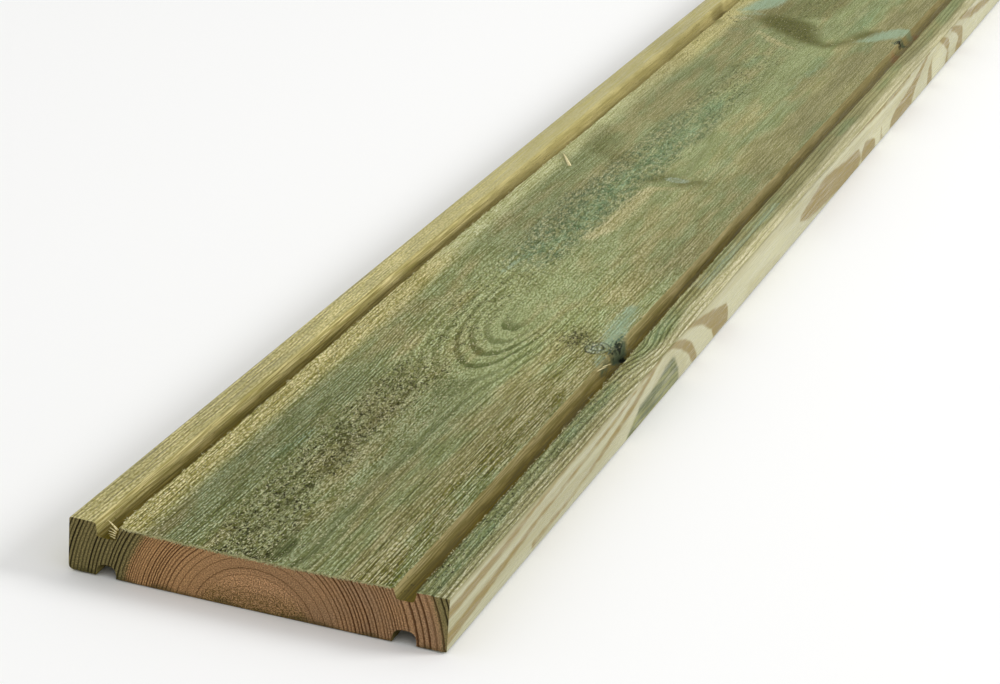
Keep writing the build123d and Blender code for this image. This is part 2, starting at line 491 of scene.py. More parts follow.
# Straw-coloured wood on the left and cream wood at the right, with green and brown wood between
wander = 1.2 * noise(31, flat_x / 6, along / 40) + 0.6 * noise(32, flat_x / 2, along / 9)
straw_stations = [0, 200, 300, 450, 560, 700, 1800]
straw_limit = np.interp(along, straw_stations, [-43.5, -43, -45, -47.5, -46, -43.5, -43.5])
straw_wander = 1.6 * noise(35, flat_x / 7, along / 70)
green_share = ease(straw_limit - 4.0, straw_limit + 4.5, flat_x + straw_wander)
cream_share = ease(64.6, 68.8, flat_x + 1.2 * wander)
green_share *= 1 - cream_share * np.interp(along, [0, 190, 340, 1800], [0.6, 0.7, 1.0, 1.0])
brown_share = 0.3 + 0.55 * noise(33, flat_x / 9, along / 55) + 0.25 * ease(12, 34, flat_x)
brown_share += 0.4 * bell(flat_x, -12, 8) * ease(50, 90, along) * (1 - ease(170, 230, along))
brown_share += (0.5 * bell(flat_x, -27, 8) + 0.3 * ease(30, 38, flat_x)) * ease(330, 480, along)
brown_share += 0.4 * bell(flat_x, 41, 9) * ease(25, 70, along) * (1 - ease(235, 290, along))
brown_share -= 0.5 * bell(flat_x, 12, 9) * bell(along, 175, 45)
brown_share -= 0.4 * bell(flat_x, 0, 14) * bell(along, 320, 60)

# Red-brown heart inside the sapwood, which is wider on the left
radius = pith_distance(true_x, true_y, true_z)
heart_limit = np.where(on_left, 50.8, 71.0)
heart_blend = np.where(on_left, 2.0, 2.5)
heart_share = 1 - ease(heart_limit - heart_blend, heart_limit + heart_blend, radius + 0.3 * wander)

# Painted shade at the foot of the groove walls and on the floors, heaviest on the side whose wall shades the
# floor, less of it further along
left_groove_shade = np.interp(along, [0, 190, 330, 460, 600, 700, 1800], [1.0, 1.0, 0.85, 0.8, 0.62, 0.42, 0.5])
right_groove_shade = np.interp(along, [0, 400, 500, 600, 740, 1800], [0.9, 0.9, 0.65, 0.32, 0.1, 0.4])
above_floor = flat_z - np.where(on_left, left_floor_z, right_floor_z)
floor_shade_toward_wall = 0.66 + 0.34 * np.where(on_left, ease(-61.4, -57.5, flat_x), ease(53.2, 57.0, flat_x))
lip_shade = ease(-60.8, -58.6, flat_x)
far_left = ease(380, 520, along) * on_left
groove_shade_share = np.where(on_left, left_groove_shade, right_groove_shade) * (1 - ease(0, 2.5, above_floor))
groove_shade_share *= floor_shade_toward_wall * (1 - far_left) + lip_shade * far_left

# Broad lights and darks, where the wood took up less or more preservative; the darkening of the near part is
# painted shade, and the lift on the far floor of the left groove is painted light
# painted shade over the near part of the board, heaviest on the green wood
near_painted_shade = 0.06 + 0.04 * on_left_strip - 0.05 * bell(flat_x, -48, 4)
near_painted_shade += (0.2 - 0.08 * ease(12, 26, flat_x) + 0.05 * bell(flat_x, 10, 8)) * green_share
far_shade = 0.14 - 0.08 * bell(flat_x, 17, 15) - 0.05 * bell(flat_x, -9, 8)
far_shade += 0.08 * ease(30, 38, flat_x) * (1 - ease(52, 60, flat_x)) + 0.07 * (1 - ease(-24, -14, flat_x))
far_shade *= green_share
far_shade += 0.08 * bell(flat_x, -49, 4) * ease(480, 560, along)
left_shade = (0.07 - 0.02 * near_part) * (1 - ease(-30, -24, flat_x)) * (1 - far_part) * green_share
strip_shade = np.interp(along, [0, 320, 400, 560, 1800], [0.07, 0.06, 0.0, 0.13, 0.13])
strip_shade *= (0.3 * on_right_strip + 0.7 * ease(63, 67, flat_x)) * (flat_x < 72)
light = 1 - near_painted_shade * near_part - far_shade * far_part - left_shade - strip_shade
light += 0.17 * bell(flat_x, 26, 11) * bell(along, 265, 60)
# painted light on the far floor of the left groove, against the shade of its walls
light += 0.14 * bell(flat_x, -58, 3) * ease(330, 520, along)
light += 0.04 * noise(34, flat_x / 22, along / 60)
light += (0.1 * noise(36, flat_x / 8, along / 40) - 0.11 * on_left_strip) * ease(400, 560, along)

# How clearly the late wood shows as lines: best at the near end, in the arcs and on the right strip
line_strength = np.interp(along, [0, 270, 320, 600, 1800], [1.1, 0.85, 0.5, 0.25, 0.3])
arcs = bell(flat_x, 5, 16) * bell(along, 238, 30)
line_strength *= 0.85 - 0.25 * bell(flat_x, 12, 14) + 0.25 * ease(30, 46, flat_x) + 1.3 * arcs
line_strength *= 1 - 0.8 * bell(flat_x, 4, 12) * ease(244, 272, along) * (1 - ease(420, 600, along))
line_strength += 0.9 * bell(flat_x, 4, 9) * bell(along, 6, 22)
line_strength *= 1 + 0.8 * on_right_strip
strip_rings = np.interp(along, [0, 300, 480, 1800], [1.25, 0.8, 0.25, 0.25])

# How rough the nap is: calmer on the strips and in the arcs, and where fine lines show instead
fine_lines = ease(4, 12, flat_x) * (1 - ease(50, 52, flat_x)) + 0.6 * bell(flat_x, -36, 8)
fine_lines *= 1 - ease(190, 260, along)
by_right_groove = ease(32, 40, flat_x)
nap_share = 1 - 0.4 * on_right_strip - 0.35 * bell(flat_x, 4, 14) * bell(along, 250, 45)
nap_share -= 0.6 * left_of_lip * ease(330, 480, along) + (0.3 - 0.2 * by_right_groove) * fine_lines
nap_share *= np.interp(along, [0, 300, 420, 620, 1800], [1.0, 0.85, 0.6, 0.45, 0.45])
streak_share = 1 + (0.15 + 0.4 * by_right_groove) * fine_lines
streak_share -= 0.6 * bell(flat_x, 4, 14) * bell(along, 255, 55)

# Torn grain: the band left of the middle, flecks round the right knot and some on the right strip
torn = torn_share(flat_x, along)
torn += 1.6 * bell(flat_x, 33.5, 8) * bell(along, 255, 15) + 0.6 * bell(flat_x, 55, 6) * bell(along, 232, 12)
torn += 0.5 * on_right_strip * (1 - ease(66, 69, flat_x)) * (1 - ease(150, 330, along))

shares = {
    "ring": ring_number(true_x, true_y, true_z),
    "ring_width": ring_width(true_x, true_y, true_z),
    "rings": np.where(left_of_lip, strip_rings, 1.0),
    "heart": heart_share,
    "lines": line_strength,
    "green": green_share,
    "brown": brown_share,
    "teal": ease(300, 350, along) * (1 - ease(560, 700, along)),
    "light": light,
    "painted_groove_shade": groove_shade_share,
    "nap": nap_share,
    "streaks": streak_share,
    "torn": torn,
    "pit_shade": pit_depth(flat_x, along),
    "blue": strokes(along, flat_x, blue_stains),
    "dark": strokes(along, flat_x, dark_stains_and_splinter_shadow),
    "knot": strokes(along, flat_x, knot_marks_and_hole_shade),
    "pale": strokes(along, flat_x, pale_stains),
    "murky": strokes(along, flat_x, teal_stains),
    "wash": strokes(along, flat_x, green_washes),
    "olive": strokes(along, flat_x, olive_stains),
    "rust": strokes(along, flat_x, rust_stains),
    "edge_late": strokes(along, flat_z, edge_bands),
    "edge_knot": strokes(along, flat_z, edge_knot),
}
for name, values in shares.items():
    board_mesh.attributes.new(name, "FLOAT", "POINT").data.foreach_set("value", values.astype(np.float32))


def srgb(red, green, blue):
    """A colour as the eye reads it, 0 to 255, as linear light for a shader."""
    values = np.array((red, green, blue)) / 255
    linear = np.where(values <= 0.04045, values / 12.92, ((values + 0.055) / 1.055) ** 2.4)
    return (*linear.tolist(), 1.0)


def place(tree, kind, inputs, **settings):
    """A shader node with its settings, and each input either linked or set."""
    node = tree.nodes.new("ShaderNode" + kind)
    for name, value in settings.items():
        setattr(node, name, value)
    for name, value in inputs.items():
        if isinstance(value, bpy.types.NodeSocket):
            tree.links.new(value, node.inputs[name])
        else:
            node.inputs[name].default_value = value
    return node


def calc(tree, operation, first, second=0.0, third=0.0):
    """The result of one sum on two or three values."""
    return place(tree, "Math", {0: first, 1: second, 2: third}, operation=operation).outputs[0]


def rise(tree, value, low, high):
    """0 below low, 1 above high and a smooth rise between."""
    inputs = {"Value": value, "From Min": low, "From Max": high}
    return place(tree, "MapRange", inputs, interpolation_type="SMOOTHSTEP").outputs[0]


def mixed(tree, share, first, second, how="MIX"):
    """Two colours mixed by a share of the second."""
    return place(tree, "Mix", {0: share, 6: first, 7: second}, data_type="RGBA", blend_type=how).outputs[2]


def shaded(tree, colour, value, swing, in_blue=1.6):
    """A colour made darker or lighter by a value from 0 to 1, by up to the swing, and more in its blue."""
    plain = calc(tree, "MULTIPLY_ADD", value, 2 * swing, 1 - swing)
    blue = calc(tree, "MULTIPLY_ADD", value, 2 * in_blue * swing, 1 - in_blue * swing)
    shade = place(tree, "CombineColor", {0: plain, 1: plain, 2: blue}).outputs[0]
    return mixed(tree, 1.0, colour, shade, "MULTIPLY")


def stained(tree, colour, share, most, stain):
    """A colour with a stain over it: the share where it lies, times how much it covers at most."""
    return mixed(tree, calc(tree, "MULTIPLY", share, most), colour, srgb(*stain))


def eased_off(tree, value, share):
    """A value from 0 to 1, drawn in towards a half where the share is low."""
    return calc(tree, "MULTIPLY_ADD", calc(tree, "SUBTRACT", value, 0.5), share, 0.5)


def grain(tree, points, stretch, detail=2.0, roughness=0.5):
    """Noise with its bumps stretched: bumps to a millimetre along x, y and z."""
    scaled = place(tree, "VectorMath", {0: points, 1: stretch}, operation="MULTIPLY").outputs[0]
    inputs = {"Vector": scaled, "Scale": 1.0, "Detail": detail, "Roughness": roughness}
    return place(tree, "TexNoise", inputs).outputs[0]


def attribute(tree, name):
    """A share stored on the mesh."""
    return place(tree, "Attribute", {}, attribute_name=name).outputs["Fac"]


def millimetres(tree):
    """The point being shaded, in the board's own millimetres."""
    points = place(tree, "TexCoord", {}).outputs["Object"]
    return place(tree, "VectorMath", {0: points, "Scale": 1000.0}, operation="SCALE").outputs[0]


def new_group(name, inputs, outputs):
    """A shader node group with its named sockets, and its two end nodes."""
    tree = bpy.data.node_groups.new(name, "ShaderNodeTree")
    for socket, kind in inputs:
        tree.interface.new_socket(name=socket, in_out="INPUT", socket_type="NodeSocket" + kind)
    for socket, kind in outputs:
        tree.interface.new_socket(name=socket, in_out="OUTPUT", socket_type="NodeSocket" + kind)
    return tree, tree.nodes.new("NodeGroupInput").outputs, tree.nodes.new("NodeGroupOutput").inputs


def use_group(tree, group, inputs):
    """A node group placed in a material, with its own values."""
    return place(tree, "Group", inputs, node_tree=group).outputs


# Growth rings: pale early wood darkens to late wood and stops short at the next ring
rings, given, put = new_group(
    "Growth rings",
    [("Ring", "Float"), ("Points", "Vector"), ("Late start", "Float"), ("Waver", "Float")],
    [("Late", "Float")],
)
waver = calc(rings, "SUBTRACT", grain(rings, given["Points"], (0.5, 0.03, 0.5)), 0.5)
ring = calc(rings, "MULTIPLY_ADD", waver, given["Waver"], given["Ring"])
phase = calc(rings, "FRACT", ring)
rising = rise(rings, phase, given["Late start"], calc(rings, "MULTIPLY_ADD", given["Late start"], 0.5, 0.5))
stopping = calc(rings, "SUBTRACT", 1.0, rise(rings, phase, 0.94, 1.0))
late = calc(rings, "MULTIPLY", rising, stopping)
year = place(rings, "TexWhiteNoise", {"W": calc(rings, "FLOOR", ring)}, noise_dimensions="1D").outputs[0]
rings.links.new(calc(rings, "MULTIPLY", late, calc(rings, "MULTIPLY_ADD", year, 0.7, 0.5)), put["Late"])

# Sawn fibres: streaks along the grain, broad patches, a beaded nap, pale specks, torn flecks and tufts
fibres, given, put = new_group(
    "Sawn fibres",
    [("Points", "Vector"), ("Torn", "Float")],
    [(mark, "Float") for mark in ("Streak", "Patch", "Nap", "Speck", "Fleck", "Tuft")],
)
points = given["Points"]
fibres.links.new(rise(fibres, grain(fibres, points, (2.2, 0.04, 2.2), 1.0), 0.42, 0.58), put["Streak"])
fibres.links.new(rise(fibres, grain(fibres, points, (0.16, 0.03, 0.16), 3.0), 0.3, 0.7), put["Patch"])
bead_inputs = {0: points, 1: (1.25, 0.42, 1.25)}
bead_points = place(fibres, "VectorMath", bead_inputs, operation="MULTIPLY").outputs[0]
beads = place(fibres, "TexVoronoi", {"Vector": bead_points, "Scale": 1.0}, voronoi_dimensions="2D")
from_bead = rise(fibres, beads.outputs["Distance"], 0.12, 0.72)
fibres.links.new(calc(fibres, "SUBTRACT", 1.0, from_bead), put["Nap"])
fibres.links.new(rise(fibres, grain(fibres, points, (1.2, 0.7, 1.2), 1.0), 0.67, 0.71), put["Speck"])
fleck_noise = grain(fibres, points, (1.2, 0.55, 1.2), 2.0, 0.6)
fleck_noise = calc(fibres, "MULTIPLY_ADD", given["Torn"], 0.11, fleck_noise)
fibres.links.new(rise(fibres, fleck_noise, 0.67, 0.705), put["Fleck"])
fibres.links.new(rise(fibres, grain(fibres, points, (0.5, 0.2, 0.5), 2.0), 0.42, 0.58), put["Tuft"])

# Knot: an oval of dark bark and pale turned wood, with a ragged outline
knot, given, put = new_group(
    "Knot",
    [("Points", "Vector"), ("Centre", "Vector"), ("Reach", "Vector")],
    [("Core", "Float"), ("Rim", "Float")],
)
offset = place(knot, "VectorMath", {0: given["Points"], 1: given["Centre"]}, operation="SUBTRACT").outputs[0]
offset = place(knot, "VectorMath", {0: offset, 1: given["Reach"]}, operation="DIVIDE").outputs[0]
distance = place(knot, "VectorMath", {0: offset}, operation="LENGTH").outputs["Value"]
ragged = grain(knot, given["Points"], (0.35, 0.25, 0.0), 3.0)
distance = calc(knot, "ADD", distance, calc(knot, "MULTIPLY_ADD", ragged, 0.24, -0.12))
knot.links.new(calc(knot, "SUBTRACT", 1.0, rise(knot, distance, 0.75, 1.05)), put["Core"])
turned = calc(knot, "FRACT", calc(knot, "MULTIPLY", distance, 2.0))
turned = rise(knot, calc(knot, "ABSOLUTE", calc(knot, "SUBTRACT", turned, 0.5)), 0.24, 0.44)
outer = calc(knot, "SUBTRACT", 1.0, rise(knot, distance, 1.0, 1.15))
knot.links.new(calc(knot, "MULTIPLY", turned, outer), put["Rim"])


def new_finish(name):
    """An empty wood material: its node tree, its shader, and the points in mm."""
    material = bpy.data.materials.new(name)
    material.use_nodes = True
    tree = material.node_tree
    shader = tree.nodes["Principled BSDF"]
    return material, tree, shader, millimetres(tree)


def finish_surface(tree, shader, colour, height, depth, roughness):
    """Links the colour and roughness, and a bump whose height of 1 stands depth millimetres."""
    tree.links.new(colour, shader.inputs["Base Color"])
    tree.links.new(roughness, shader.inputs["Roughness"])
    bump = place(tree, "Bump", {"Height": height, "Strength": 1.0, "Distance": depth * mm})
    tree.links.new(bump.outputs[0], shader.inputs["Normal"])
    shader.inputs["Specular IOR Level"].default_value = 0.2


def plain_wood(name, early, late_colour, late_start, waver):
    """A planed finish of rings, streaks and patches, returned with what the next layers need."""
    material, tree, shader, points = new_finish(name)
    board_mesh.materials.append(material)
    ring = attribute(tree, "ring")
    ring_inputs = {"Ring": ring, "Points": points, "Late start": late_start, "Waver": waver}
    late = calc(tree, "MULTIPLY", use_group(tree, rings, ring_inputs)["Late"], attribute(tree, "rings"))
    marks = use_group(tree, fibres, {"Points": points, "Torn": 0.2})
    colour = mixed(tree, late, srgb(*early), srgb(*late_colour))
    # broad lights and darks of the wood, with painted shade at the near part and painted light on the far
    # groove floor
    colour = mixed(tree, 1.0, colour, attribute(tree, "light"), "MULTIPLY")
    return tree, shader, points, late, marks, colour


# Planed strip: straw-coloured sapwood left of the left groove and down that edge
early, late_colour = (187, 178, 119), (156, 146, 88)
tree, shader, points, late, marks, colour = plain_wood("planed_strip", early, late_colour, 0.45, 0.3)
streak = eased_off(tree, marks["Streak"], attribute(tree, "nap"))
colour = shaded(tree, colour, streak, 0.24)
on_top = rise(tree, place(tree, "SeparateXYZ", {0: points}).outputs["X"], -72.4, -71.6)
top_nap = calc(tree, "MULTIPLY", attribute(tree, "nap"), on_top)
colour = shaded(tree, colour, eased_off(tree, marks["Nap"], top_nap), 0.28)
colour = stained(tree, colour, marks["Fleck"], 0.5, (96, 88, 42))
colour = shaded(tree, colour, marks["Patch"], 0.04)
height = calc(tree, "SUBTRACT", marks["Streak"], late)
finish_surface(tree, shader, colour, height, 0.1, rise(tree, marks["Streak"], -0.9, 1.6))

# Groove: milled wood, browner than the face, with painted shade along the floor
early, late_colour = (190, 179, 119), (164, 151, 93)
tree, shader, points, late, marks, colour = plain_wood("groove", early, late_colour, 0.5, 0.5)
on_right = rise(tree, place(tree, "SeparateXYZ", {0: points}).outputs["X"], -9.0, 9.0)
colour = stained(tree, colour, on_right, 0.8, (137, 126, 84))
# painted shade on the groove floors and at the foot of the walls
colour = mixed(tree, attribute(tree, "painted_groove_shade"), colour, srgb(95, 82, 18))
streak = eased_off(tree, marks["Streak"], attribute(tree, "nap"))
colour = shaded(tree, colour, streak, 0.28)
colour = shaded(tree, colour, marks["Patch"], 0.1)
colour = stained(tree, colour, marks["Fleck"], 0.6, (74, 60, 26))
blue = rise(tree, attribute(tree, "blue"), -2.0, 3.0)
colour = stained(tree, colour, blue, 0.6, (112, 136, 108))
# dark stains, with the painted shadow beside the loose splinter
dark = rise(tree, attribute(tree, "dark"), -3.0, 4.0)
colour = stained(tree, colour, dark, 0.7, (92, 80, 28))
pale = rise(tree, attribute(tree, "pale"), -2.0, 2.0)
colour = stained(tree, colour, pale, 0.6, (136, 134, 98))
ragged = calc(tree, "MULTIPLY_ADD", marks["Nap"], 1.0, -0.5)
murky = rise(tree, calc(tree, "ADD", attribute(tree, "murky"), ragged), -1.5, 2.0)
colour = stained(tree, colour, murky, 0.85, (58, 76, 58))
rust = rise(tree, attribute(tree, "rust"), -1.5, 1.0)
colour = stained(tree, colour, rust, 0.6, (142, 104, 64))
# black knot marks, with painted shade in the holes of the torn knot
black = rise(tree, calc(tree, "ADD", attribute(tree, "knot"), ragged), -0.7, 0.7)
colour = stained(tree, colour, black, 0.95, (22, 26, 16))
height = calc(tree, "SUBTRACT", marks["Streak"], late)
finish_surface(tree, shader, colour, height, 0.15, rise(tree, marks["Streak"], -0.9, 1.4))
shader.inputs["Specular IOR Level"].default_value = 0.05


def sawn_wood(name, pale_early, pale_late, greyed, depth):
    """A resawn face: green preservative over lines of late wood, with torn fibres, knots and stains, and
    painted shade in torn holes, knot holes and beside a splinter.
    """
    material, tree, shader, points = new_finish(name)
    board_mesh.materials.append(material)
    ring_inputs = {"Ring": attribute(tree, "ring"), "Points": points, "Late start": 0.45, "Waver": 0.3}
    late = use_group(tree, rings, ring_inputs)["Late"]
    marks = use_group(tree, fibres, {"Points": points, "Torn": attribute(tree, "torn")})
    late = calc(tree, "MULTIPLY", late, attribute(tree, "lines"))
    late = calc(tree, "MULTIPLY", late, rise(tree, marks["Nap"], -0.5, 0.6))
    teal = attribute(tree, "teal")
    straw = mixed(tree, late, srgb(*pale_early), srgb(*pale_late))
    grey_straw = mixed(tree, late, srgb(177, 178, 128), srgb(140, 139, 92))
    straw = mixed(tree, calc(tree, "MULTIPLY", teal, greyed), straw, grey_straw)
    green = mixed(tree, late, srgb(146, 154, 105), srgb(91, 99, 52))
    brown = mixed(tree, late, srgb(157, 153, 104), srgb(99, 93, 46))
    patch = calc(tree, "MULTIPLY_ADD", marks["Patch"], 0.7, -0.35)
    brown_share = rise(tree, calc(tree, "ADD", attribute(tree, "brown"), patch), 0.1, 0.9)
    colour = mixed(tree, attribute(tree, "green"), straw, mixed(tree, brown_share, green, brown))
    tuft_dark = mixed(tree, teal, srgb(110, 108, 60), srgb(98, 118, 84))
    tuft_pale = mixed(tree, teal, srgb(166, 165, 112), srgb(162, 163, 118))
    tuft = mixed(tree, marks["Tuft"], tuft_dark, tuft_pale)
    tuft_most = calc(tree, "MULTIPLY_ADD", teal, 0.25, 0.45)
    colour = mixed(tree, calc(tree, "MULTIPLY", attribute(tree, "torn"), tuft_most), colour, tuft)
    ragged = calc(tree, "MULTIPLY_ADD", marks["Patch"], 8.0, -5.0)
    wash = rise(tree, calc(tree, "ADD", attribute(tree, "wash"), ragged), -4.0, 5.0)
    colour = stained(tree, colour, wash, 0.42, (116, 149, 106))
    # broad lights and darks of the wood, with painted shade at the near part
    colour = mixed(tree, 1.0, colour, attribute(tree, "light"), "MULTIPLY")
    # stains with ragged outlines, one of them a painted shadow beside a splinter
    ragged = calc(tree, "MULTIPLY_ADD", marks["Nap"], 2.4, -1.2)
    ragged = calc(tree, "ADD", ragged, calc(tree, "MULTIPLY_ADD", marks["Streak"], 3.0, -1.5))
    pale = calc(tree, "MULTIPLY_ADD", ragged, 0.5, attribute(tree, "pale"))
    pale = rise(tree, pale, -2.5, 2.5)
    colour = stained(tree, colour, pale, 0.75, (172, 163, 116))
    olive = rise(tree, attribute(tree, "olive"), -7.0, 8.0)
    colour = stained(tree, colour, olive, 0.55, (92, 90, 40))
    # dark stains, with the painted shadow beside the loose splinter
    dark = rise(tree, calc(tree, "ADD", attribute(tree, "dark"), ragged), -5.0, 7.0)
    colour = stained(tree, colour, dark, 0.9, (84, 84, 32))
    rust = rise(tree, attribute(tree, "rust"), -1.5, 1.5)
    colour = stained(tree, colour, rust, 0.6, (148, 108, 68))
    blue = calc(tree, "MULTIPLY_ADD", ragged, 0.4, attribute(tree, "blue"))
    blue = calc(tree, "MULTIPLY", rise(tree, blue, -2.5, 3.0), 0.8)
    colour = mixed(tree, blue, colour, srgb(146, 167, 138))
    # three knots
    knots = [
        ((45.0, 248.2), (5.2, 6.8), 0.8, 0.85),
        ((10.0, 482.0), (6.4, 4.4), 0.8, 0.1),
        ((-42.0, 791.0), (6.0, 5.0), 0.3, 0.1),
    ]
    for centre, reach, core, rim in knots:
        across, station = centre
        middle = (across, station + near_end, 20.0)
        oval = use_group(tree, knot, {"Points": points, "Centre": middle, "Reach": (*reach, 200.0)})
        colour = stained(tree, colour, oval["Core"], core, (140, 150, 122))
        colour = stained(tree, colour, oval["Rim"], rim, (50, 58, 42))
    murky = rise(tree, calc(tree, "ADD", attribute(tree, "murky"), ragged), -1.5, 2.0)
    colour = stained(tree, colour, murky, 0.9, (54, 78, 58))
    # black knot marks, with painted shade in the holes of the torn knot
    black = calc(tree, "MULTIPLY_ADD", ragged, 0.4, attribute(tree, "knot"))
    black = rise(tree, black, -0.7, 0.8)
    colour = stained(tree, colour, black, 0.95, (28, 34, 22))
    # torn and raised fibres
    rough = calc(tree, "MULTIPLY", attribute(tree, "nap"), calc(tree, "MULTIPLY_ADD", blue, -0.8, 1.0))
    streak = eased_off(tree, marks["Streak"], calc(tree, "MULTIPLY", rough, attribute(tree, "streaks")))
    colour = shaded(tree, colour, streak, 0.4)
    colour = shaded(tree, colour, eased_off(tree, marks["Nap"], rough), 0.5)
    # dark pits and flecks on the torn grain: painted shade in the holes the saw tore out
    torn_hole_shade = mixed(tree, teal, srgb(34, 32, 2), srgb(60, 80, 46))
    pit_shade = calc(tree, "MULTIPLY", rise(tree, attribute(tree, "pit_shade"), 0.08, 0.5), 0.6)
    fleck_depth = calc(tree, "MULTIPLY_ADD", teal, -0.3, 0.95)
    colour = mixed(tree, calc(tree, "MULTIPLY", pit_shade, fleck_depth), colour, torn_hole_shade)
    colour = mixed(tree, calc(tree, "MULTIPLY", marks["Fleck"], fleck_depth), colour, torn_hole_shade)
    colour = stained(tree, colour, marks["Speck"], rough, (216, 212, 172))
    height = calc(tree, "MULTIPLY_ADD", marks["Speck"], 0.6, calc(tree, "MULTIPLY", marks["Nap"], rough))
    height = calc(tree, "SUBTRACT", height, calc(tree, "ADD", marks["Fleck"], late))
    finish_surface(tree, shader, colour, height, depth, rise(tree, marks["Nap"], -1.6, 1.0))


sawn_wood("sawn_face", (180, 172, 115), (142, 133, 80), 1.0, 0.3)
sawn_wood("sawn_strip", (200, 194, 152), (156, 150, 104), 0.0, 0.45)

# Planed edge: cream sapwood, with brown late wood in bands and patches and a grey-green knot
early, late_colour = (185, 182, 151), (174, 169, 134)
tree, shader, points, late, marks, colour = plain_wood("planed_edge", early, late_colour, 0.3, 0.3)
ragged = grain(tree, points, (0.3, 0.12, 0.3), 3.0)
ragged = calc(tree, "MULTIPLY_ADD", ragged, 2.0, -1.0)
late = rise(tree, calc(tree, "ADD", attribute(tree, "edge_late"), ragged), -0.8, 1.0)
colour = stained(tree, colour, late, 0.9, (137, 119, 68))
dark = rise(tree, calc(tree, "ADD", attribute(tree, "edge_knot"), ragged), -1.6, 1.6)
veins = rise(tree, grain(tree, points, (0.5, 0.035, 0.5), 2.0), 0.42, 0.6)
knot_colour = mixed(tree, veins, srgb(80, 88, 42), srgb(126, 127, 78))
colour = mixed(tree, calc(tree, "MULTIPLY", dark, 0.9), colour, knot_colour)
upward = place(tree, "SeparateXYZ", {0: points}).outputs["Z"]
fringe = rise(tree, calc(tree, "ADD", upward, ragged), 19.2, 21.4)
colour = stained(tree, colour, fringe, 0.6, (126, 120, 76))
colour = shaded(tree, colour, marks["Streak"], 0.05)
colour = shaded(tree, colour, calc(tree, "MULTIPLY", marks["Nap"], dark), 0.08)
finish_surface(tree, shader, colour, marks["Streak"], 0.06, rise(tree, marks["Streak"], -0.9, 2.0))

# Underside: planed and evenly green
early, late_colour = (152, 152, 110), (124, 121, 80)
tree, shader, points, late, marks, colour = plain_wood("underside", early, late_colour, 0.45, 0.4)
colour = shaded(tree, colour, marks["Streak"], 0.1)
colour = shaded(tree, colour, marks["Patch"], 0.08)
height = calc(tree, "SUBTRACT", marks["Streak"], late)
finish_surface(tree, shader, colour, height, 0.1, rise(tree, marks["Streak"], -0.9, 1.4))

# End grain: red-brown heart inside dark green sapwood, with every ring crossing the saw cut
material, tree, shader, points = new_finish("end_grain")
board_mesh.materials.append(material)
ring = attribute(tree, "ring")
line_width = calc(tree, "MULTIPLY_ADD", rise(tree, ring, 7.5, 14.0), 0.6, 0.55)
late_share = calc(tree, "MINIMUM", calc(tree, "DIVIDE", line_width, attribute(tree, "ring_width")), 0.6)
late_start = calc(tree, "SUBTRACT", 1.0, late_share)
ring_inputs = {"Ring": ring, "Points": points, "Late start": late_start, "Waver": 0.12}
late = use_group(tree, rings, ring_inputs)["Late"]
pores = rise(tree, grain(tree, points, (2.2, 2.2, 2.2), 1.0, 0.7), 0.38, 0.62)
clouds = rise(tree, grain(tree, points, (0.1, 0.1, 0.1), 3.0), 0.35, 0.65)
core = calc(tree, "SUBTRACT", 1.0, rise(tree, ring, 5.0, 7.2))
late = calc(tree, "MULTIPLY", late, calc(tree, "MULTIPLY_ADD", rise(tree, ring, 4.0, 14.0), 0.55, 0.45))
sap = mixed(tree, late, srgb(144, 133, 86), srgb(38, 33, 14))
across = place(tree, "SeparateXYZ", {0: points}).outputs["X"]
heart = mixed(tree, rise(tree, across, -45.0, 8.0), srgb(206, 160, 109), srgb(188, 147, 105))
heart = stained(tree, heart, clouds, rise(tree, across, 5.0, 40.0), (179, 143, 106))
heart = mixed(tree, late, heart, srgb(96, 64, 38))
heart_share = calc(tree, "ADD", attribute(tree, "heart"), calc(tree, "MULTIPLY_ADD", pores, 0.5, -0.25))
colour = mixed(tree, rise(tree, heart_share, 0.1, 0.9), sap, heart)
upward = place(tree, "SeparateXYZ", {0: points}).outputs["Z"]
crumbs = grain(tree, points, (1.5, 1.5, 1.5), 2.0)
pale_crumbs = calc(tree, "MULTIPLY", core, calc(tree, "SUBTRACT", 0.5, rise(tree, crumbs, 0.34, 0.44)))
colour = mixed(tree, pale_crumbs, colour, srgb(204, 162, 126))
granules = calc(tree, "MULTIPLY", core, rise(tree, crumbs, 0.5, 0.62))
low_down = calc(tree, "SUBTRACT", 1.0, rise(tree, upward, 1.0, 11.0))
granules = calc(tree, "MULTIPLY", granules, low_down)
colour = stained(tree, colour, granules, 0.75, (72, 64, 24))
colour = stained(tree, colour, calc(tree, "MULTIPLY", core, low_down), 0.45, (120, 100, 56))
damp = calc(tree, "SUBTRACT", 1.0, rise(tree, calc(tree, "MULTIPLY_ADD", clouds, -1.5, upward), -0.8, 1.6))
colour = stained(tree, colour, damp, 0.65, (74, 70, 36))
colour = shaded(tree, colour, pores, 0.34, 1.0)
middle = calc(tree, "MULTIPLY_ADD", rise(tree, ring, 5.0, 13.0), 0.15, 0.845)
colour = mixed(tree, 1.0, colour, middle, "MULTIPLY")
colour = shaded(tree, colour, calc(tree, "MULTIPLY", pores, core), 0.2, 1.0)
finish_surface(tree, shader, colour, calc(tree, "SUBTRACT", pores, late), 0.2, rise(tree, pores, -1.6, 1.0))
shader.inputs["Specular IOR Level"].default_value = 0.05

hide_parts("roof_board")
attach(board, "root")

# Raised fibres
# Slivers that the saw lifted and left standing: thick over the torn grain, along the ragged lips of the
# grooves and at the near end's top edge, and thin elsewhere on the sawn faces.
draw = np.random.default_rng(50)


def scattered(count, low_x, high_x, low_y, high_y):
    """Random places on the sawn face, as two arrays."""
    return draw.uniform(low_x, high_x, count), draw.uniform(low_y, high_y, count)


def near_line(count, line_x, spread, low_y, high_y):
    """Random places along a lip of a groove, as two arrays."""
    return draw.normal(line_x, spread, count), draw.uniform(low_y, high_y, count)


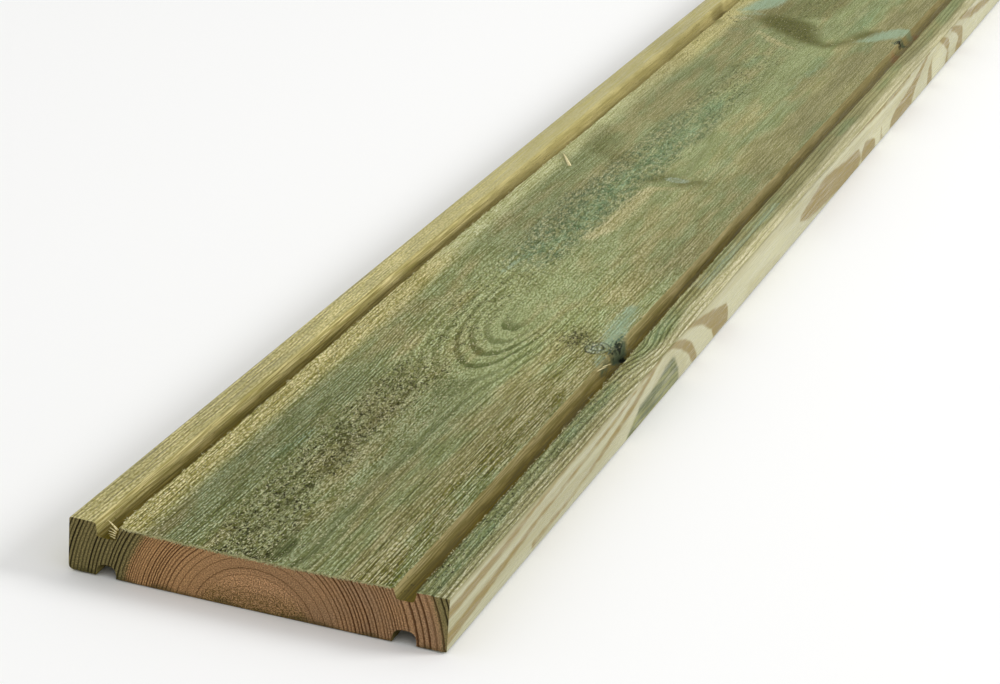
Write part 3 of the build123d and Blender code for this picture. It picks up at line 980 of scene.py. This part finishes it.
fibre_groups = [
    scattered(3600, -25, 4, 1, 215),
    scattered(900, -51, 51, 1, 120),
    scattered(3300, -51, 51, 120, 330),
    scattered(700, 61.2, 71, 1, 330),
    near_line(600, -52.0, 0.5, 4, 520),
    near_line(600, 51.2, 0.4, 1, 400),
    near_line(500, 60.6, 0.4, 12, 400),
    scattered(1500, -30, 2, 330, 560),
    scattered(2200, -51, 51, 330, 900),
    scattered(1400, -51, 51, 900, 1797),
]
fibre_x = np.concatenate([group[0] for group in fibre_groups])
fibre_y = np.concatenate([group[1] for group in fibre_groups])
edge_count = 2400
fibre_x = np.append(fibre_x, draw.uniform(-51, 51, edge_count))
fibre_y = np.append(fibre_y, draw.uniform(0.02, 0.7, edge_count))
fibre_count = len(fibre_x)
over_edge = np.arange(fibre_count) >= fibre_count - edge_count
turn = draw.normal(0, 0.42, fibre_count) + np.where(draw.uniform(size=fibre_count) < 0.5, 0, math.pi)
turn = np.where(over_edge, math.pi + draw.normal(0, 0.9, fibre_count), turn)
tilt = np.abs(draw.normal(0.16, 0.16, fibre_count))
tilt = np.where(over_edge, draw.normal(0.1, 0.5, fibre_count), tilt)
long = draw.gamma(3.0, 0.26, fibre_count) + 0.35
long = np.where(over_edge, draw.uniform(0.5, 1.5, fibre_count), long)
wide = draw.uniform(0.16, 0.4, fibre_count)
base = np.stack(shape_of(fibre_x, fibre_y, np.full(fibre_count, face_height)), -1)
base[:, 2] -= 0.06
ahead = np.stack((np.sin(turn) * np.cos(tilt), np.cos(turn) * np.cos(tilt), np.sin(tilt)), -1)
sideways = np.stack((np.cos(turn), -np.sin(turn), np.zeros(fibre_count)), -1)
tip = base + ahead * long[:, None]
left = base + sideways * wide[:, None] / 2
right = base - sideways * wide[:, None] / 2
under = base - np.array((0, 0, 0.18)) + ahead * 0.2
fibre_points = np.stack((left, right, under, tip), 1).reshape(-1, 3)
margin = 0.02
fibre_points = np.clip(fibre_points, stock_low + margin, stock_high - margin)
start = 4 * np.arange(fibre_count)[:, None, None]
fibre_faces = (start + np.array([[1, 0, 3], [2, 1, 3], [0, 2, 3], [0, 1, 2]])).reshape(-1, 3)
fibre_mesh = bpy.data.meshes.new("raised_fibres")
fibre_mesh.from_pydata(fibre_points * mm, [], fibre_faces.tolist())
fibre_green = (0.4 + 0.6 * ease(-46, -40, fibre_x)) * draw.uniform(0.0, 1.0, fibre_count)
tone = fibre_mesh.attributes.new("green", "FLOAT", "POINT")
tone.data.foreach_set("value", np.repeat(fibre_green, 4).astype(np.float32))
raised_fibres = bpy.data.objects.new("raised_fibres", fibre_mesh)
bpy.context.collection.objects.link(raised_fibres)

material, tree, shader, points = new_finish("raised_fibre")
fibre_mesh.materials.append(material)
colour = mixed(tree, attribute(tree, "green"), srgb(222, 216, 170), srgb(138, 142, 95))
streak = grain(tree, points, (3.0, 0.6, 3.0), 2.0)
colour = shaded(tree, colour, streak, 0.3)
finish_surface(tree, shader, colour, streak, 0.03, rise(tree, streak, -1.6, 1.0))
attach(raised_fibres, "root")

# Splinters
# Longer slivers that the cutter left hanging on the board: a comb of them at the near mouth of the left
# groove, some bristles further along that groove, and a loose one lying across the straw-coloured band.
# Each is root, tip (x, station, z), and half width, in mm
splinter_sizes = [
    ((-53.4, 1.2, 18.9), (-59.0, 4.0, 20.8), 0.55),
    ((-53.6, 0.7, 18.2), (-57.0, 1.7, 19.1), 0.48),
    ((-53.8, 0.6, 17.6), (-57.2, 1.1, 18.0), 0.45),
    ((-53.9, 0.6, 16.8), (-57.2, 1.1, 16.9), 0.46),
    ((-54.0, 0.4, 15.9), (-56.7, 0.9, 16.3), 0.46),
    ((-42.4, 474.2, 20.1), (-51.6, 490.6, 20.8), 1.0),
    ((-53.2, 466.0, 18.2), (-55.8, 474.0, 19.2), 0.4),
    ((-53.4, 471.0, 17.4), (-56.4, 477.0, 18.4), 0.4),
    ((-53.0, 476.0, 18.6), (-55.0, 484.0, 19.4), 0.36),
    ((-52.6, 196.0, 19.6), (-54.4, 203.0, 20.2), 0.3),
    ((51.8, 226.0, 19.4), (54.4, 233.0, 19.6), 0.4),
    ((52.0, 232.0, 19.0), (54.8, 238.0, 19.2), 0.4),
]
splinter_steps = 6
splinter_points, splinter_faces = [], []
for root, tip, thick in splinter_sizes:
    root, tip = np.array(root), np.array(tip)
    ahead = (tip - root) / np.linalg.norm(tip - root)
    sideways = np.cross(ahead, (0, 0, 1))
    sideways /= np.linalg.norm(sideways)
    upwards = np.cross(sideways, ahead)
    first = len(splinter_points)
    for k in range(splinter_steps):
        share = k / splinter_steps
        centre = root + (tip - root) * share + upwards * 1.2 * thick * share * (1 - share)
        wide = thick * (1 - share) ** 0.6
        splinter_points += [centre + sideways * wide, centre + upwards * 0.5 * wide]
        splinter_points += [centre - sideways * wide, centre - upwards * 0.5 * wide]
    splinter_points.append(tip)
    splinter_faces.append([first + i for i in range(4)])
    for k in range(splinter_steps - 1):
        ring_start = first + 4 * k
        for i in range(4):
            turn_to = (i + 1) % 4
            corners = [ring_start + turn_to, ring_start + i, ring_start + 4 + i, ring_start + 4 + turn_to]
            splinter_faces.append(corners)
    last = first + 4 * (splinter_steps - 1)
    splinter_faces += [[last + (i + 1) % 4, last + i, last + 4] for i in range(4)]
splinter_points = np.array(splinter_points) + (0, near_end, 0)
splinter_mesh = bpy.data.meshes.new("splinters")
splinter_points = np.clip(splinter_points, stock_low + margin, stock_high - margin)
splinter_mesh.from_pydata(splinter_points * mm, [], splinter_faces)
splinters = bpy.data.objects.new("splinters", splinter_mesh)
bpy.context.collection.objects.link(splinters)

material, tree, shader, points = new_finish("splinter")
splinter_mesh.materials.append(material)
streak = grain(tree, points, (2.0, 0.8, 2.0), 2.0)
colour = mixed(tree, rise(tree, streak, 0.35, 0.65), srgb(190, 176, 120), srgb(236, 226, 180))
finish_surface(tree, shader, colour, streak, 0.05, rise(tree, streak, -1.6, 1.0))
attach(splinters, "root")

# Floor and light
# A plain pale floor, an even sky and one broad soft lamp, low on the right and a little behind.
floor_mesh = bpy.data.meshes.new("floor")
floor_mesh.from_pydata([(-9, -9, 0), (9, -9, 0), (9, 9, 0), (-9, 9, 0)], [], [(0, 1, 2, 3)])
floor = bpy.data.objects.new("floor", floor_mesh)
floor.location.z = -0.0002
bpy.context.collection.objects.link(floor)
floor_paint = bpy.data.materials.new("floor_paint")
floor_paint.use_nodes = True
floor_shader = floor_paint.node_tree.nodes["Principled BSDF"]
floor_shader.inputs["Base Color"].default_value = (0.93, 0.93, 0.92, 1)
floor_shader.inputs["Roughness"].default_value = 0.9
floor_mesh.materials.append(floor_paint)

scene = bpy.context.scene
world = bpy.data.worlds.new("studio")
world.use_nodes = True
world.node_tree.nodes["Background"].inputs["Color"].default_value = (1, 1, 1, 1)
world.node_tree.nodes["Background"].inputs["Strength"].default_value = 0.8
scene.world = world
scene.view_settings.view_transform = "Standard"

key = bpy.data.lights.new("key", "AREA")
key.shape = "DISK"
key.size = 1.2
key.energy = 46
key_lamp = bpy.data.objects.new("key", key)
key_lamp.location = (2.4, 0.3, 1.56)
key_aim = Vector((0, -0.6, 0))
key_lamp.rotation_euler = (key_lamp.location - key_aim).to_track_quat("Z", "Y").to_euler()
bpy.context.collection.objects.link(key_lamp)

# Camera
# It looks down on the near end from the right, rolled a little, through a long lens.
view_azimuth = math.radians(18.2145)
view_elevation = math.radians(21.4376)
view_roll = math.radians(3.9939)
camera_data = bpy.data.cameras.new("camera")
camera_data.sensor_width = 36.0
camera_data.lens = 109.29
camera = bpy.data.objects.new("camera", camera_data)
back = np.array(
    (
        math.sin(view_azimuth) * math.cos(view_elevation),
        -math.cos(view_azimuth) * math.cos(view_elevation),
        math.sin(view_elevation),
    )
)
level = np.cross((0, 0, 1), back)
level /= np.linalg.norm(level)
upright = np.cross(back, level)
across = math.cos(view_roll) * level + math.sin(view_roll) * upright
upward = -math.sin(view_roll) * level + math.cos(view_roll) * upright
stand = np.array((373.6, -880.3 + near_end, 480.8 + 0.7)) * mm
camera.matrix_world = Matrix(
    [[across[i], upward[i], back[i], stand[i]] for i in range(3)] + [[0, 0, 0, 1]]
)
bpy.context.collection.objects.link(camera)
scene.camera = camera
